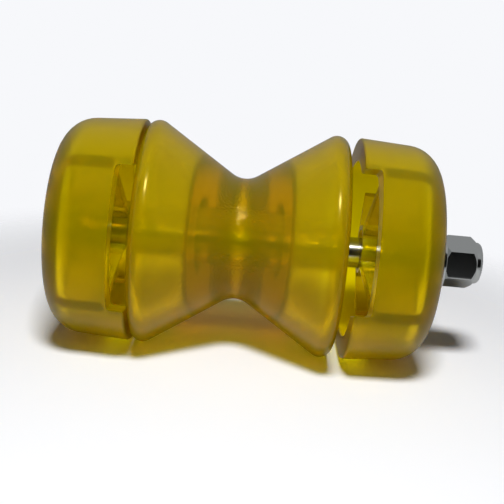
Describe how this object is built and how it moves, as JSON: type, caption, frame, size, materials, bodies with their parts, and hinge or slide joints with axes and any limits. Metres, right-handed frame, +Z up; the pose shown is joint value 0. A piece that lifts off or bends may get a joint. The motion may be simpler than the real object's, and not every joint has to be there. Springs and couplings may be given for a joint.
{
  "type": "boat trailer roller",
  "caption": "Amber V-shaped trailer keel roller between two cup-shaped end bells on a hex bolt with a lock nut; each bell's rim has a notch for a bracket's ear.",
  "frame": {"origin": "on the bolt's axis, midway between the rims of the two bells", "axes": "+X along the bolt from its head to its nut, +Z up with the roller lying as in use, -Y the front, where the rims' notches face"},
  "size_m": [0.1759, 0.092, 0.0919],
  "materials": {
    "amber_polymer": "moulded, translucent",
    "zinc_steel": "bright zinc plate",
    "white_nylon": "turned"
  },
  "bodies": {
    "bolt_set": {"hex_bolt": "zinc_steel", "lock_nut_body": "zinc_steel", "nylon_ring": "white_nylon", "flat_washer": "zinc_steel"},
    "spool": {"spool_roller": "amber_polymer"},
    "left_cap": {"left_bell": "amber_polymer"},
    "right_cap": {"right_bell": "amber_polymer"}
  },
  "joints": [
    {"name": "spool_spin", "type": "hinge", "parent": "bolt_set", "child": "spool", "pos_m": [-0.002, 0, 0.00155], "axis": [1, 0, 0], "continuous": true},
    {"name": "left_bell_spin", "type": "hinge", "parent": "bolt_set", "child": "left_cap", "pos_m": [-0.06, 0, 0.00155], "axis": [1, 0, 0], "continuous": true},
    {"name": "right_bell_spin", "type": "hinge", "parent": "bolt_set", "child": "right_cap", "pos_m": [0.06, 0, 0.00155], "axis": [1, 0, 0], "continuous": true}
  ]
}
